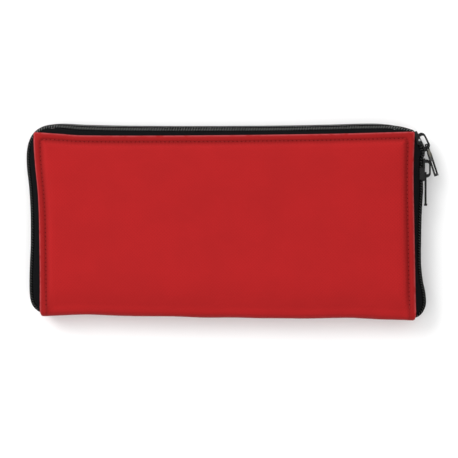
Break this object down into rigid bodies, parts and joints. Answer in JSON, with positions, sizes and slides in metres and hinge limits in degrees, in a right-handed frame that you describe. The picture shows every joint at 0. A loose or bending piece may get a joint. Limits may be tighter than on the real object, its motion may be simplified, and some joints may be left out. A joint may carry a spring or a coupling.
{
  "type": "fire blanket",
  "caption": "Fire blanket folded in a flat padded red cloth pouch, closed on three sides by a black coil zip with two sliders and looped pull tabs.",
  "frame": {"origin": "middle of the back cloth's flat outer face, where the pouch rests", "axes": "+X along the pouch towards the zip's two sliders, +Y from the bottom fold to the top zip, +Z out of the front cloth"},
  "size_m": [0.3075, 0.1475, 0.026],
  "materials": {
    "red_cloth": "satin",
    "zipper_tape": "matte",
    "zipper_coil": "satin",
    "bartack_thread": "matte",
    "glass_cloth": "satin",
    "webbing": "matte",
    "slider_metal": "satin",
    "pull_metal": "satin"
  },
  "bodies": {
    "back_half": {"back_panel": "red_cloth", "bottom_fold": "red_cloth", "back_zipper_tape": "zipper_tape", "back_coil": "zipper_coil", "left_bartack": "bartack_thread", "right_bartack": "bartack_thread"},
    "cover": {"front_panel": "red_cloth", "front_zipper_tape": "zipper_tape", "front_coil": "zipper_coil"},
    "blanket": {"fire_blanket": "glass_cloth", "left_pull_tape": "webbing", "right_pull_tape": "webbing"},
    "lower_slider": {"lower_slider_body": "slider_metal", "lower_slider_crown": "slider_metal"},
    "lower_pull": {"lower_pull_tab": "pull_metal"},
    "upper_slider": {"upper_slider_body": "slider_metal", "upper_slider_crown": "slider_metal"},
    "upper_pull": {"upper_pull_tab": "pull_metal"}
  },
  "joints": [
    {"name": "cover_open", "type": "hinge", "parent": "back_half", "child": "cover", "pos_m": [0, -0.073, 0.013], "axis": [1, 0, 0], "range_deg": [0, 180], "deforming": ["bottom_fold", "front_zipper_tape", "front_coil"]},
    {"name": "blanket_lift", "type": "slide", "parent": "back_half", "child": "blanket", "axis": [0, 0, 1], "range_m": [0, 0.032]},
    {"name": "lower_slide", "type": "slide", "parent": "back_half", "child": "lower_slider", "axis": [0, -1, 0], "range_m": [0, 0.088], "deforming": ["back_zipper_tape", "back_coil"]},
    {"name": "lower_pull_swing", "type": "hinge", "parent": "lower_slider", "child": "lower_pull", "pos_m": [0.14982, 0.0375, 0.013], "axis": [0, 0, 1], "range_deg": [0, 60]},
    {"name": "upper_turn", "type": "hinge", "parent": "back_half", "child": "upper_slider", "pos_m": [0.1244, 0.05046, 0.013], "axis": [0, 0, 1], "range_deg": [0, 63.8]},
    {"name": "upper_pull_swing", "type": "hinge", "parent": "upper_slider", "child": "upper_pull", "pos_m": [0.15043, 0.05869, 0.013], "axis": [0, 0, 1], "range_deg": [0, 90]}
  ],
  "couplings": [
    {"joint": "blanket_lift", "follows": "cover_open", "m_per_rad": 0.01}
  ]
}
